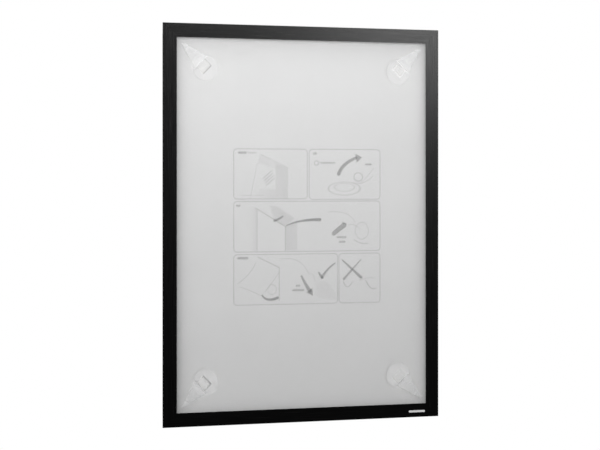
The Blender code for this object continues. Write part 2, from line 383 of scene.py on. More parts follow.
def anti_glare_sheet():
    """Etched polyester: a pale veil over what is behind, with a fine grain that breaks up reflections.

    The real grain is a few hundredths of a millimetre. Half a millimetre is the finest that shows."""
    veil = per_face(WINDOW_OPACITY)
    material, tree, shader = start_material("anti_glare_polyester", "#ececec", 0.5, ior=1.45, alpha=veil)
    place = add(tree, "TexCoord").outputs["Object"]
    # Painted shade along the border, with a painted gleam under its top edge.
    bright = painted_edge_shade(tree, place, *WINDOW_PAINTED_SHADE)
    grain = add(tree, "TexNoise", {"Vector": place, "Scale": 1 / GRAIN, "Detail": 2.0})
    relief = add(tree, "Bump", {"Strength": 0.1, "Distance": 0.02 * MM, "Height": grain})
    fill(tree, shader, {"Base Color": shaded_colour(tree, bright, "#e8e8e8"), "Normal": relief})
    return material


dress(nodes["window_sheet"], anti_glare_sheet())

# %% [markdown]
# ## The frosted panel
#
# The panel is a thin polypropylene sheet, embossed on the roll so that it is frosted. It hides most of
# what is behind it. Where the glue of a release pad wets the frosted face, the frost disappears, the way
# tape turns a frosted window clear, so the pads show through much better than the discs around them.

# %% Frosted polypropylene
PANEL_OPACITY = 0.87
TOUCHED_OPACITY = 0.75
WETTED_OPACITY = 0.45
# The panel's painted shade at the left side's bottom and top, at the right side, and at the two level sides.
PANEL_PAINTED_SHADE = ((0.8, 0.45), 0.46, 0.3)
CLOUD_SIZE = 60 * MM
PAD_LENGTH = 11 * MM
PAD_WIDTH = 13.6 * MM

# Glue wets the frost fully 0.2 mm inside a pad's edge, and not at all 0.4 mm outside it.
WETTED_EDGE = (-0.2 * MM, 0.4 * MM)
# A disc touches the panel fully 1.5 mm inside its rim, and not at all 0.5 mm inside it.
TOUCHED_EDGE = (-1.5 * MM, -0.5 * MM)

pad_low, pad_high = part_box("release_pad_top_right")
pad_middle = ((pad_low.x + pad_high.x) / 2, (pad_low.z + pad_high.z) / 2)
disc_middle = mount_places["wall_pad_top_right"]
disc_radius = disc_middle[0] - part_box("wall_disc_top_right")[0].x


def frosted_polypropylene():
    """A pale frosted sheet with faint clouds from the roll, painted shade along its edge, and clearer at the pads.
    """
    material, tree, shader = start_material("frosted_polypropylene", "#dddddd", 0.5)
    place = add(tree, "TexCoord").outputs["Object"]
    # Painted shade along the border, with a painted gleam under its top edge.
    bright = painted_edge_shade(tree, place, *PANEL_PAINTED_SHADE)
    clouds = add(tree, "TexNoise", {"Vector": place, "Scale": 1 / CLOUD_SIZE, "Detail": 3.0})
    faint = {"Value": clouds, "From Min": 0.3, "From Max": 0.7, "To Min": 0.97, "To Max": 1.0}
    clouds = add(tree, "MapRange", faint)
    bright = add(tree, "Math", {0: bright, 1: clouds}, operation="MULTIPLY")

    # All four corners are alike, so the distance to the top right pad is measured on a mirrored place.
    mirrored = add(tree, "VectorMath", {0: place}, operation="ABSOLUTE")
    at_pad = {
        "Vector": mirrored,
        "Location": (pad_middle[0], 0.0, pad_middle[1]),
        "Rotation": (0.0, math.radians(-45), 0.0),
    }
    turned = add(tree, "Mapping", at_pad, vector_type="TEXTURE")
    turned = add(tree, "VectorMath", {0: turned}, operation="ABSOLUTE")
    sides = add(tree, "SeparateXYZ", {0: turned}).outputs
    past_reach = add(tree, "Math", {0: sides["X"], 1: PAD_LENGTH / 2}, operation="SUBTRACT")
    past_across = add(tree, "Math", {0: sides["Z"], 1: PAD_WIDTH / 2}, operation="SUBTRACT")
    past_pad = add(tree, "Math", {0: past_reach, 1: past_across}, operation="MAXIMUM")

    # Where a disc touches the back of the sheet, more light comes through.
    middle = (disc_middle[0], 0.0, disc_middle[2])
    from_disc = add(tree, "VectorMath", {0: mirrored, 1: middle}, operation="SUBTRACT")
    from_disc = add(tree, "VectorMath", {0: from_disc, 1: (1.0, 0.0, 1.0)}, operation="MULTIPLY")
    away = add(tree, "VectorMath", {0: from_disc}, operation="LENGTH")
    past_rim = add(tree, "Math", {0: away, 1: disc_radius}, operation="SUBTRACT")

    alphas = []
    contacts = (
        (past_pad, WETTED_EDGE, WETTED_OPACITY, "SMOOTHSTEP"),
        (past_rim, TOUCHED_EDGE, TOUCHED_OPACITY, "LINEAR"),
    )
    for distance, (inside, outside), opacity, kind in contacts:
        fade = {"Value": distance, "From Min": inside, "From Max": outside}
        fade |= {"To Min": per_face(opacity), "To Max": per_face(PANEL_OPACITY)}
        alphas.append(add(tree, "MapRange", fade, interpolation_type=kind))
    alpha = add(tree, "Math", {0: alphas[0], 1: alphas[1]}, operation="MINIMUM")
    fill(tree, shader, {"Base Color": shaded_colour(tree, bright, "#dddddd"), "Alpha": alpha})
    return material


dress(nodes["rear_panel"], frosted_polypropylene())

# %% [markdown]
# ## Flexible magnet strips
#
# The strips are ferrite powder in rubber, extruded like pasta. They are dark brown-grey and dull, with
# faint lines along their length from the die. They show when the front is open, and as a dark band
# through the back of the panel.

# %% Extruded magnet rubber
DIE_LINE = 0.6 * MM
DIE_STRETCH = 50


def extruded_magnet_rubber(name, scale):
    """Ferrite-filled rubber. scale stretches the die lines along the strip."""
    material, tree, shader = start_material(name, "#262322", 0.62, ior=1.52)
    place = add(tree, "TexCoord").outputs["Object"]
    along = add(tree, "Mapping", {"Vector": place, "Scale": scale})
    lines = add(tree, "TexNoise", {"Vector": along, "Scale": 1.0, "Detail": 4.0})
    browns = {"Factor": lines, 6: linear("#1b1918"), 7: linear("#332f2d")}
    shade = add(tree, "Mix", browns, data_type="RGBA")
    relief = add(tree, "Bump", {"Strength": 0.35, "Distance": 0.05 * MM, "Height": lines})
    fill(tree, shader, {"Base Color": shade, "Normal": relief})
    return material


across_die, along_die = 1 / DIE_LINE, 1 / (DIE_STRETCH * DIE_LINE)
level_rubber = extruded_magnet_rubber("magnet_rubber_level", (along_die, across_die, across_die))
upright_rubber = extruded_magnet_rubber("magnet_rubber_upright", (across_die, across_die, along_die))
for side in ("top", "bottom", "left", "right"):
    rubber = level_rubber if side in ("top", "bottom") else upright_rubber
    dress(nodes["rear_strip_" + side], rubber)
    dress(nodes["front_magnet_" + side], rubber)

# %% [markdown]
# ## The hinge film
#
# The front hangs on one strip of black film, taped to the panel's left strip, folded back on itself and
# taped to the front's magnet. In the imported model it is two leaves and a bead. Here it is what it really
# is: one film carried along a path that runs out to the fold, round it in half a circle, and back.

# %% Hinge film as one strip
FILM_THICKNESS = 0.15 * MM
FOLD_STEPS = 12
LEAF_STEPS = 7

hinge = next(joint for joint in frame["joints"] if joint["name"] == "front_hinge")
hinge_x, hinge_depth = hinge["pos_m"][0], -hinge["pos_m"][1]
leaf_low, leaf_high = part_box("hinge_leaf_rear")
rear_leaf_front = layer("hinge_leaf_rear")[1]
front_leaf_back = layer("hinge_leaf_front")[0]


def square_to(path):
    """The unit vector square to a path at each of its points, turned left from the way ahead."""
    ahead = np.gradient(path, axis=0)
    ahead /= np.linalg.norm(ahead, axis=1, keepdims=True)
    return np.column_stack((-ahead[:, 1], ahead[:, 0]))


def film_along(path, sides, thickness):
    """Outlines of a flat film along a path.

    path[i] is x and depth, and each outline is the rectangle from -thickness / 2 to thickness / 2 square
    to the path and from one side to the other."""
    faces = [path + square_to(path) * thickness * half for half in (-0.5, -0.5, 0.5, 0.5)]
    heights = (sides[0], sides[1], sides[1], sides[0])
    outlines = [np.column_stack((f[:, 0], -f[:, 1], np.full(len(f), z))) for f, z in zip(faces, heights)]
    return np.stack(outlines, axis=1)


fold_radius = (front_leaf_back - rear_leaf_front + FILM_THICKNESS) / 2
turn = np.linspace(0, math.pi, FOLD_STEPS + 1)
fold_path = (hinge_x, hinge_depth) - fold_radius * np.column_stack((np.sin(turn), np.cos(turn)))
leaf_steps = np.linspace(leaf_high.x, hinge_x, LEAF_STEPS + 1)[:-1]
out_path = np.column_stack((leaf_steps, np.full(LEAF_STEPS, hinge_depth - fold_radius)))
back_path = np.column_stack((leaf_steps[::-1], np.full(LEAF_STEPS, hinge_depth + fold_radius)))
hinge_path = np.concatenate((out_path, fold_path, back_path))
hinge_strip = loft("hinge_strip", film_along(hinge_path, (leaf_low.z, leaf_high.z), FILM_THICKNESS))
dress(hinge_strip, hinge_film)
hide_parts("hinge_leaf_rear", "hinge_fold", "hinge_leaf_front")
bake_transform(hinge_strip)
print("hinge fold radius in mm:", round(fold_radius / MM, 3))

# %% [markdown]
# ## Wall discs
#
# Each disc is moulded from clear acrylic with a flat cut across one side, where the pull tab comes out.
# Moulding leaves a soft rounded rim with a shallow step inside it. The outline is an arc and a straight
# line, and the same outline, drawn smaller and smaller at different depths, gives the rim, the step and
# the flat floor.

# %% Moulded discs
ARC_STEPS = 96
FLAT_STEPS = 24
FLAT_TO_FOLD = 0.7 * MM

disc_back, disc_front = layer("wall_disc_top_right")
fold_x, fold_y, fold_z = fold_places["tab_top_right"]
fold_reach = math.hypot(fold_x - disc_middle[0], fold_z - disc_middle[2])
disc_flat = fold_reach - FLAT_TO_FOLD


def disc_outline(inset):
    """Reach and across of a disc's outline, drawn inset from its edge.

    The arc is radius times cosine and sine, and stops where it meets the flat at reach = flat."""
    radius, flat = disc_radius - inset, disc_flat - inset
    stop = math.acos(flat / radius)
    angles = np.linspace(stop, 2 * math.pi - stop, ARC_STEPS + 1)
    arc = radius * np.column_stack((np.cos(angles), np.sin(angles)))
    half_flat = radius * math.sin(stop)
    straight = np.linspace(-half_flat, half_flat, FLAT_STEPS + 1)[1:-1]
    return np.concatenate((arc, np.column_stack((np.full(len(straight), flat), straight))))


# Inset from the edge in millimetres, and height as a share of the disc's thickness: back, rim, step, floor.
# The first and the last ring lie well inside, so that the rim's painted shade stays off the flat ends.
DISC_PROFILE = (
    (4.00, 0.00),
    (0.40, 0.00),
    (0.08, 0.05),
    (0.00, 0.25),
    (0.00, 0.65),
    (0.06, 0.88),
    (0.22, 1.00),
    (1.70, 1.00),
    (1.95, 0.92),
    (2.15, 0.75),
    (2.40, 0.70),
    (4.00, 0.70),
)

# How much painted shade the disc has at some insets in millimetres: at the rim, inside it, on the step and on the
# floor.
PAINTED_SHADE_INSETS = (0.0, 0.3, 1.5, 2.0, 2.4)
PAINTED_SHADE_THERE = (1.0, 0.75, 0.1, 0.6, 0.0)
# Light comes from the right, so the rim gets painted shade on its left side and stays clear on its right.
PAINTED_SHADE_MIDDLE = 0.45
PAINTED_SHADE_SLOPE = 0.75
PAINTED_SHADE_LEAST = 0.05


def clear_acrylic():
    """Moulded acrylic: glossy and almost clear, with painted shade in the rim and step for the light they bend."""
    material, tree, shader = start_material("moulded_acrylic", "#eff0f0", 0.22, ior=1.49, coat=0.3)
    # The rim attribute is painted shade: grey and less clear where the rim and step bend the light, more so on the
    # left.
    rim = add(tree, "Attribute", attribute_name="rim").outputs["Fac"]
    painted_greys = {"Factor": rim, 6: linear("#f2f2f2"), 7: linear("#6a6b6c")}
    shade = add(tree, "Mix", painted_greys, data_type="RGBA")
    dulling = {"Value": rim, "To Min": per_face(0.03), "To Max": per_face(0.9)}
    alpha = add(tree, "MapRange", dulling)
    fill(tree, shader, {"Base Color": shade, "Alpha": alpha})
    return material


acrylic = clear_acrylic()
profile = np.array(DISC_PROFILE)
# Painted shade along the profile, made deeper on the rim's left side, away from the light, by the factor below.
grey = np.interp(profile[:, 0], PAINTED_SHADE_INSETS, PAINTED_SHADE_THERE)
for corner in CORNERS:
    rings = []
    for inset, share in DISC_PROFILE:
        outline = disc_outline(inset * MM)
        depth = disc_back + share * (disc_front - disc_back)
        rings.append(corner_place(corner, outline[:, 0], outline[:, 1], depth))
    rings = np.array(rings)
    sideways = (rings[:, :, 0] - mount_places["wall_pad_" + corner][0]) / disc_radius
    painted_left_shade = np.clip(PAINTED_SHADE_MIDDLE - PAINTED_SHADE_SLOPE * sideways, PAINTED_SHADE_LEAST, 1)
    disc = loft("moulded_disc_" + corner, rings, {"rim": grey[:, None] * painted_left_shade})
    dress(disc, acrylic)
    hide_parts("wall_disc_" + corner)
    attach(disc, "rear")
print("disc radius in mm:", round(disc_radius / MM, 2))

# %% [markdown]
# ## Release pads
#
# Between disc and panel sits a square of stretchy foam glue, the part that comes loose when its tab is
# pulled. Foam tape is pressed on a waffle roll, so its face has rows of small cushions. No two pads are
# pressed on alike, and light falls on each in its own way. On the left, two edges catch no light, and a
# dark chevron of painted shade stands for that. At the top right the rim is bright, and at the bottom
# right the cushions show.

# %% Waffled foam pads
PAD_STEPS = 48
WAFFLE_PITCH = 1.9 * MM
WAFFLE_DEPTH = 0.07 * MM
PAD_ROUND = 0.5 * MM
PAD_EDGE = 2.2 * MM
PAD_CLEAR = 0.25
FLANK_SHARE = 0.7

# How much each pad shows of a dark chevron of painted shade, the waffle, a clear face and a bright rim.
PAD_LOOKS = {
    "top_left": (1.3, 0.0, 1.0, 0.0),
    "top_right": (0.0, 0.05, 1.0, 0.6),
    "bottom_left": (1.8, 0.0, 2.0, 0.0),
    "bottom_right": (0.0, 0.3, 1.4, 0.0),
}

pad_back, pad_front = layer("release_pad_top_right")
half_length, half_across = PAD_LENGTH / 2, PAD_WIDTH / 2


def foam_glue():
    """Pale gel glue: milky where edge is zero, clear and bright below zero, and closed and darker above it, which
    is painted shade.
    """
    material, tree, shader = start_material("waffled_foam_glue", "#e9e8e4", 0.45, ior=1.47)
    edge = add(tree, "Attribute", attribute_name="edge").outputs["Fac"]
    tones = {"Factor": edge, 6: linear("#f6f6f4"), 7: linear("#2f3031")}
    shade = add(tree, "Mix", tones, data_type="RGBA")
    alpha = add(tree, "MapRange", {"Value": edge, "From Min": -1.0, "From Max": 0.0})
    fill(tree, shader, {"Base Color": shade, "Alpha": alpha})
    return material


foam = foam_glue()
grid = np.linspace(-1, 1, PAD_STEPS + 1)
pad_u, pad_v = np.meshgrid(grid, grid, indexing="ij")
reach = disc_flat - half_length + pad_u * half_length
across = pad_v * half_across
waffle = np.cos(2 * math.pi * reach / WAFFLE_PITCH) * np.cos(2 * math.pi * across / WAFFLE_PITCH)
to_rim = np.minimum((1 - abs(pad_u)) * half_length, (1 - abs(pad_v)) * half_across)
rolled = PAD_ROUND / 2 * np.clip(1 - to_rim / PAD_ROUND, 0, 1) ** 2
pad_depth = pad_front - WAFFLE_DEPTH * (1 - waffle) / 2 - rolled
far = np.clip(1 - (1 + pad_u) * half_length / PAD_EDGE, 0, 1)
rim = np.clip(2 - 2 * to_rim / PAD_EDGE, 0, 1)
for corner in CORNERS:
    # The chevron of painted shade is the far edge and the edge that looks to the right, which is another one at
    # the bottom.
    turned = math.copysign(1, mount_places["wall_pad_" + corner][2])
    flank = np.clip(1 - (1 + turned * pad_v) * half_across / PAD_EDGE, 0, 1)
    chevron_painted_shade, relief, clearness, bright = PAD_LOOKS[corner]
    # Above zero the tone is painted shade: the chevron where the edges catch no light.
    tone = chevron_painted_shade * np.maximum(far, FLANK_SHARE * flank) + relief * waffle
    tone -= clearness * PAD_CLEAR + bright * rim
    front = corner_place(corner, reach, across, pad_depth)
    back = corner_place(corner, reach, across, pad_back)
    pad = slab("foam_pad_" + corner, front, back, {"edge": tone}, -1.0)
    dress(pad, foam)
    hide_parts("release_pad_" + corner)
    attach(pad, "rear")

# %% [markdown]
# ## Wall glue
#
# The glue on the back of each disc is a thin acrylic film, almost clear. It only shows from behind, where
# it takes a slight mottle from the wall it was pressed on.

# %% Acrylic glue
GLUE_OPACITY = 0.06
MOTTLE_SIZE = 3 * MM


def milky_glue():
    """Soft acrylic glue: a faint veil, slightly yellow, mottled in patches of about 3 mm."""
    veil = per_face(GLUE_OPACITY)
    material, tree, shader = start_material("milky_acrylic_glue", "#e4e2da", 0.38, ior=1.47, alpha=veil)
    place = add(tree, "TexCoord").outputs["Object"]
    mottle = add(tree, "TexNoise", {"Vector": place, "Scale": 1 / MOTTLE_SIZE, "Detail": 3.0})
    creams = {"Factor": mottle, 6: linear("#dad7cc"), 7: linear("#f0eee7")}
    shade = add(tree, "Mix", creams, data_type="RGBA")
    relief = add(tree, "Bump", {"Strength": 0.3, "Distance": 0.05 * MM, "Height": mottle})
    fill(tree, shader, {"Base Color": shade, "Normal": relief})
    return material


glue = milky_glue()
for corner in CORNERS:
    dress(nodes["wall_glue_" + corner], glue)

# %% [markdown]
# ## Pull tabs
#
# A pull tab is one piece of film from the pad, up through the slit in the panel, over a fold and out to a
# round tip. Its outline is a width that changes along its length, and its path is a straight run, a
# quarter turn and a long straight run that rises a little, because the film springs up until it almost
# touches the window. It is milkier towards its tip, and milky at the fold, where it is strained. At the two
# bottom corners the fold is grey as well: painted shade over the light from above that the bend catches.

# %% Tabs that bend at the slit
TAB_THICKNESS = 0.25 * MM
FOLD_RADIUS = 0.3 * MM
TAB_HALF_WIDTH = 9.5 * MM
TIP_RADIUS = 1.4 * MM
TAB_RISE = math.radians(2.0)
CLIMB_STEPS = 6
QUARTER_STEPS = 8
TAB_STEPS = 40
TAB_ACROSS = 24
TIP_FROM_EDGE = 22.1 * MM
TIP_BLUNT = 0.12 * MM
CREASE_LENGTH = 0.8 * MM
FILM_MILK = 0.17
TIP_MILK = 0.34

# How milky the strained fold is. Past one half it also turns grey, painted shade at the two bottom folds,
# where the bend catches the light from above. The two at the top face down, away from the light, and stay
# clearer.
FOLD_MILK_AND_PAINTED_SHADE = {"top_left": 0.3, "top_right": 0.1, "bottom_left": 1.0, "bottom_right": 1.0}

# The film leaves the disc just past its flat side, and the last two give the ends of a short stretch about the
# fold.
ROOT_GAP = 0.3 * MM
BEND_BEFORE = 0.15 * MM
BEND_AFTER = 1.2 * MM

tip_reach = math.sqrt(2) * (half_width - TIP_FROM_EDGE - disc_middle[0])
root_back = layer("tab_root_top_right")[0]
root_reach = disc_flat + ROOT_GAP
fold_depth = -fold_y


def tab_path():
    """Reach and depth of the film's middle line: up the slit, round a quarter circle, out to the tip."""
    up = np.linspace(root_back, fold_depth - FOLD_RADIUS, CLIMB_STEPS)
    climb = np.column_stack((np.full(CLIMB_STEPS, root_reach), up))
    quarter = np.linspace(0, math.pi / 2, QUARTER_STEPS + 1)[1:]
    bend = np.column_stack((1 - np.cos(quarter), np.sin(quarter) - 1)) * FOLD_RADIUS
    bend += (root_reach, fold_depth)
    start = bend[-1]
    run = (tip_reach - start[0]) * (1 - np.cos(np.linspace(0, math.pi, TAB_STEPS + 1)[1:])) / 2
    out = np.column_stack((start[0] + run, start[1] + run * math.tan(TAB_RISE)))
    return np.concatenate((climb, bend, out))


def tab_half_width(reach):
    """Half the tab's width: constant to the fold, then falling in a straight line to the tip's circle.

    Within the tip it is the circle's: the square root of radius squared less offset squared."""
    centre = tip_reach - TIP_RADIUS
    straight = TAB_HALF_WIDTH + (TIP_RADIUS - TAB_HALF_WIDTH) * (reach - fold_reach) / (centre - fold_reach)
    circle = np.sqrt(np.maximum(TIP_RADIUS**2 - (reach - centre) ** 2, TIP_BLUNT**2))
    return np.where(reach > centre, circle, np.clip(straight, 0, TAB_HALF_WIDTH))


def tab_outlines(corner):
    """Closed outlines across the tab, front face then back face, and how white each point is, with painted grey
    shade where it is highest.

    Across the width the thickness goes as the square root of 1 - share**8, so the edges are round."""
    path = tab_path()
    normal = square_to(path)
    share = np.linspace(-1, 1, TAB_ACROSS + 1)
    half = np.sqrt(np.clip(1 - share**8, 0.04, 1)) * TAB_THICKNESS / 2
    widths = tab_half_width(path[:, 0])
    rings = []
    for sign, order in ((1, slice(None)), (-1, slice(None, None, -1))):
        lift = sign * half[order]
        reach = path[:, :1] + normal[:, :1] * lift
        depth = path[:, 1:] + normal[:, 1:] * lift
        rings.append(corner_place(corner, reach, widths[:, None] * share[order], depth))
    outline = np.concatenate(rings, axis=1)
    along = np.clip((path[:, 0] - fold_reach) / (tip_reach - fold_reach), 0, 1)
    creased = np.exp(-np.maximum(path[:, 0] - root_reach, 0) / CREASE_LENGTH)
    # Past one half the fold's milk also brings painted grey shade.
    white = np.maximum(FILM_MILK + (TIP_MILK - FILM_MILK) * along, creased * FOLD_MILK_AND_PAINTED_SHADE[corner])
    return outline, np.broadcast_to(white[:, None], outline.shape[:2])


def stretch_film():
    """Stretchy polyolefin film: clear where white is 0, milky at 0.5, and at 1 strained and grey with painted
    shade.
    """
    material, tree, shader = start_material("stretch_film", "#eeefef", 0.3, ior=1.5, coat=0.2)
    white = add(tree, "Attribute", attribute_name="white").outputs["Fac"]
    alpha = add(tree, "MapRange", {"Value": white, "To Min": 0.0, "To Max": per_face(0.98)})
    # From 0.5 up the film turns grey: painted shade on the bottom folds, which catch the light from above.
    strained = add(tree, "MapRange", {"Value": white, "From Min": 0.5, "From Max": 1.0})
    milk_and_painted_grey = {"Factor": strained, 6: linear("#fcfdfd"), 7: linear("#a8a9a9")}
    shade = add(tree, "Mix", milk_and_painted_grey, data_type="RGBA")
    fill(tree, shader, {"Base Color": shade, "Alpha": alpha})
    return material


film = stretch_film()
for corner in CORNERS:
    outline, white = tab_outlines(corner)
    tab = loft("tab_strip_" + corner, outline, {"white": white})
    dress(tab, film)
    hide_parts("tab_root_" + corner, "pull_tab_" + corner)
    bending = np.array((root_reach + BEND_BEFORE, fold_reach + BEND_AFTER))
    begin, finish = corner_place(corner, bending, 0.0, fold_depth)
    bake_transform(tab)
print("tab tip reach in mm:", round(tip_reach / MM, 1))

# %% [markdown]
# ## The printed label
#
# In the middle of the panel is a film with mounting pictures in grey ink, as any such frame has: wipe the
# wall, lift the film off a disc, press it on, keep it level, peel, and what not to do. The pictures here
# are drawn from scratch and carry no words. Where a caption would be there is a plain bar.
#
# Ink could be a raised ribbon for each stroke, but every see-through face costs the renderer a step, and
# a stack of them turns black. So the label is one sheet on a fine grid, and the ink is a value at each
# point of the grid. A stroke is every point closer to a curve than half the pen's width. A wash is every
# point on the inner side of a few straight lines. Layers of ink let through (1 - ink) each, and what they
# let through is multiplied.

# %% Pens and washes
PRINT_PITCH = 0.62 * MM
PRINT_SIZE = 175 * MM
PRINT_OFFSET = 0.8 * MM
SOFT_EDGE = 0.9
SOFT_WASH = 2.5

label_low, label_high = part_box("instruction_label")
label_width = label_high.x - label_low.x
margin = (label_width - PRINT_SIZE) / 2
cells = round(label_width / PRINT_PITCH)
spots = np.linspace(0, 1, cells + 1)
label_u, label_v = np.meshgrid(spots, spots, indexing="ij")
label_x = label_low.x + label_u * label_width
label_z = label_high.z + label_v * (label_low.z - label_high.z)

# The drawing board: millimetres to the right and down from the print's top left corner.
board_x = (label_x - label_low.x - margin - PRINT_OFFSET) / MM
board_y = (label_high.z - label_z - margin) / MM
clear = np.ones_like(board_x)


def lay(distance, tone, soft=SOFT_EDGE):
    """Lays ink where a signed distance in millimetres is below zero, with a soft edge."""
    global clear
    cover = np.clip(0.5 - distance / soft, 0, 1)
    cover = cover * cover * (3 - 2 * cover)
    clear = clear * (1 - tone * cover)


def curve(points, count=14):
    """Points on the smooth curve that starts and ends at the first and last point and leans to the others.

    It is the sum of each point times n over k, times t to the power k, times (1 - t) to the power n - k."""
    points = np.array(points, float)
    last = len(points) - 1
    t = np.linspace(0, 1, count)[:, None] if last > 1 else np.array([[0.0], [1.0]])
    return sum(math.comb(last, k) * t**k * (1 - t) ** (last - k) * points[k] for k in range(last + 1))


def stroke(points, pen, tone):
    """One pen stroke. pen is the half width at its start and end, in millimetres.

    The distance to a piece of the curve is the distance to its nearest point less the half width there."""
    line = curve(points)
    widths = np.linspace(*pen, len(line)) if np.ndim(pen) else np.full(len(line), pen)
    nearest = np.full_like(board_x, np.inf)
    for a, b, start, stop in zip(line[:-1], line[1:], widths[:-1], widths[1:]):
        way = b - a
        t = ((board_x - a[0]) * way[0] + (board_y - a[1]) * way[1]) / (way @ way)
        t = np.clip(t, 0, 1)
        away = np.hypot(board_x - a[0] - t * way[0], board_y - a[1] - t * way[1])
        nearest = np.minimum(nearest, away - start - t * (stop - start))
    lay(nearest, tone)


def ring(middle, radii, pen, tone):
    """An ellipse drawn with a pen. The distance is taken as (r - 1) times the smaller radius."""
    r = np.hypot((board_x - middle[0]) / radii[0], (board_y - middle[1]) / radii[1])
    lay(abs(r - 1) * min(radii) - pen, tone)


def panel(left, top, right, bottom, pen, tone, radius=4.0):
    """A rectangle with round corners drawn with a pen.

    The distance to it is the length of what sticks out of the rectangle shrunk by the radius, less the
    radius."""
    beyond_x = abs(board_x - (left + right) / 2) - (right - left) / 2 + radius
    beyond_y = abs(board_y - (top + bottom) / 2) - (bottom - top) / 2 + radius
    outside = np.hypot(np.maximum(beyond_x, 0), np.maximum(beyond_y, 0))
    inside = np.minimum(np.maximum(beyond_x, beyond_y), 0)
    lay(abs(outside + inside - radius) - pen, tone)


def past_sides(corners):
    """How far each spot lies outside a shape with straight sides, listed clockwise.

    It is the largest of the distances to the sides, each measured outwards."""
    distance = np.full_like(board_x, -np.inf)
    for a, b in zip(corners, np.roll(corners, -1, axis=0)):
        way = (b - a) / np.linalg.norm(b - a)
        distance = np.maximum(distance, (board_x - a[0]) * way[1] - (board_y - a[1]) * way[0])
    return distance


def wash(points, tones):
    """A soft wash inside a shape with straight sides, whose tone runs from left to right."""
    corners = np.array(points, float)
    left, right = corners[:, 0].min(), corners[:, 0].max()
    lay(past_sides(corners), np.interp(board_x, (left, right), tones), SOFT_WASH)


def arrow_head(base, tip, half, tone):
    """A filled triangle from a base line, which reaches half to each side, to its tip."""
    base, tip = np.array(base), np.array(tip)
    over = np.array((-1, 1)) * (tip - base)[::-1] / np.linalg.norm(tip - base)
    lay(past_sides(np.array((base - half * over, tip, base + half * over))), tone)


# %% [markdown]
# The drawing itself is a short list of strokes for each panel. A faint tone is a guide line or a wall,
# and a strong or heavy one is an arrow that says what to do.

# %% Panel outlines
SHADE, FAINT, LIGHT, MIDDLE, STRONG, HEAVY = 0.07, 0.13, 0.22, 0.3, 0.42, 0.5

PANELS = (
    (-1.1, 0.6, 84.8, 56.6),
    (87.1, 0.6, 172.1, 57.2),
    (-1.1, 59.2, 172.1, 115.7),
    (-1.1, 118.6, 120.9, 174.8),
    (122.6, 118.6, 172.1, 174.8),
)
for edges in PANELS:
    panel(*edges, 0.4, LIGHT)

# %% First panel: wipe the wall
wash([(30, 6.5), (62, 21.5), (62, 28), (27, 16)], (SHADE, 0.0))
wash([(47.5, 16), (62, 22), (62, 56), (47.5, 56)], (SHADE, 0.09))
wash([(22, 46), (47.5, 46), (47.5, 56), (20, 56)], (0.0, SHADE))
for step in range(4):
    stroke([(33 + 1.2 * step, 33.5 + 2.6 * step), (43 + 1.0 * step, 25 + 2.8 * step)], 0.4, LIGHT)
stroke([(30, 6.5), (62, 21.5)], 0.3, FAINT)
stroke([(26, 17), (18, 56)], 0.3, FAINT)
stroke([(5, 4.9), (12.6, 4.9)], 1.2, MIDDLE)
stroke([(16, 4.9), (24, 4.9)], 0.9, FAINT)
stroke([(7, 52.5), (34, 52.5)], 0.3, FAINT)

# %% Second panel: lift the film off a disc
stroke([(93, 5.5), (95, 5.5)], 1.4, LIGHT)
ring((95.8, 16.1), (2.5, 2.5), 0.5, LIGHT)
stroke([(101, 15.9), (117.5, 15.9)], 0.9, LIGHT)
stroke([(122.3, 28.3), (126.5, 16.5), (143, 10.2)], (2.1, 1.5), STRONG)
arrow_head((143, 10.6), (150.2, 9.4), 5.0, STRONG)
ring((129, 45), (19, 7.4), 0.4, FAINT)
ring((129, 43.6), (12, 4.4), 0.3, FAINT)
ring((145.8, 31.8), (5.2, 4.8), 0.4, LIGHT)
stroke([(147, 39), (156, 34), (164, 22)], 0.4, FAINT)
stroke([(139, 38), (150, 43), (163, 31)], 0.4, FAINT)
stroke([(155, 17.5), (161, 17.5)], 1.0, MIDDLE)

# %% Third panel: bend the top edge to the wall
wash([(41, 64), (50, 65.5), (70, 78.5), (59, 87.5), (46, 80)], (SHADE, 0.11))
wash([(59, 88), (73, 80), (73, 114.5), (59, 114.5)], (0.1, SHADE))
wash([(18, 66), (26.5, 68), (26.5, 114.5), (18, 114.5)], (0.0, SHADE))
stroke([(23.9, 66.5), (59.6, 88)], 0.45, LIGHT)
stroke([(25.9, 68), (25.9, 114.5)], 0.3, FAINT)
stroke([(59, 88), (59, 114.5)], 0.35, LIGHT)
stroke([(46.3, 80.9), (51, 79.6), (55.6, 76.3)], (1.4, 1.0), STRONG)
stroke([(60.3, 86.5), (76, 79.5), (99.8, 80.1)], (0.5, 1.7), HEAVY)
stroke([(116.4, 95.8), (121.5, 91.5), (128.6, 86.6)], (2.4, 2.8), STRONG)
stroke([(126.6, 83.6), (131, 85.2)], (0.6, 0.8), MIDDLE)
stroke([(121, 100.1), (130.5, 100.1)], 1.0, MIDDLE)
stroke([(123.4, 105.4), (129.4, 105.4)], 1.0, MIDDLE)
stroke([(110, 71.6), (123, 70), (137, 72), (142, 84)], 0.4, FAINT)
stroke([(134, 86), (142, 84), (148, 92)], 0.4, FAINT)
ring((150, 93), (8, 9.5), 0.4, FAINT)
stroke([(141, 103), (149, 109), (157, 107.5)], 0.4, LIGHT)
stroke([(2.8, 64.1), (5.4, 64.1)], 1.2, MIDDLE)

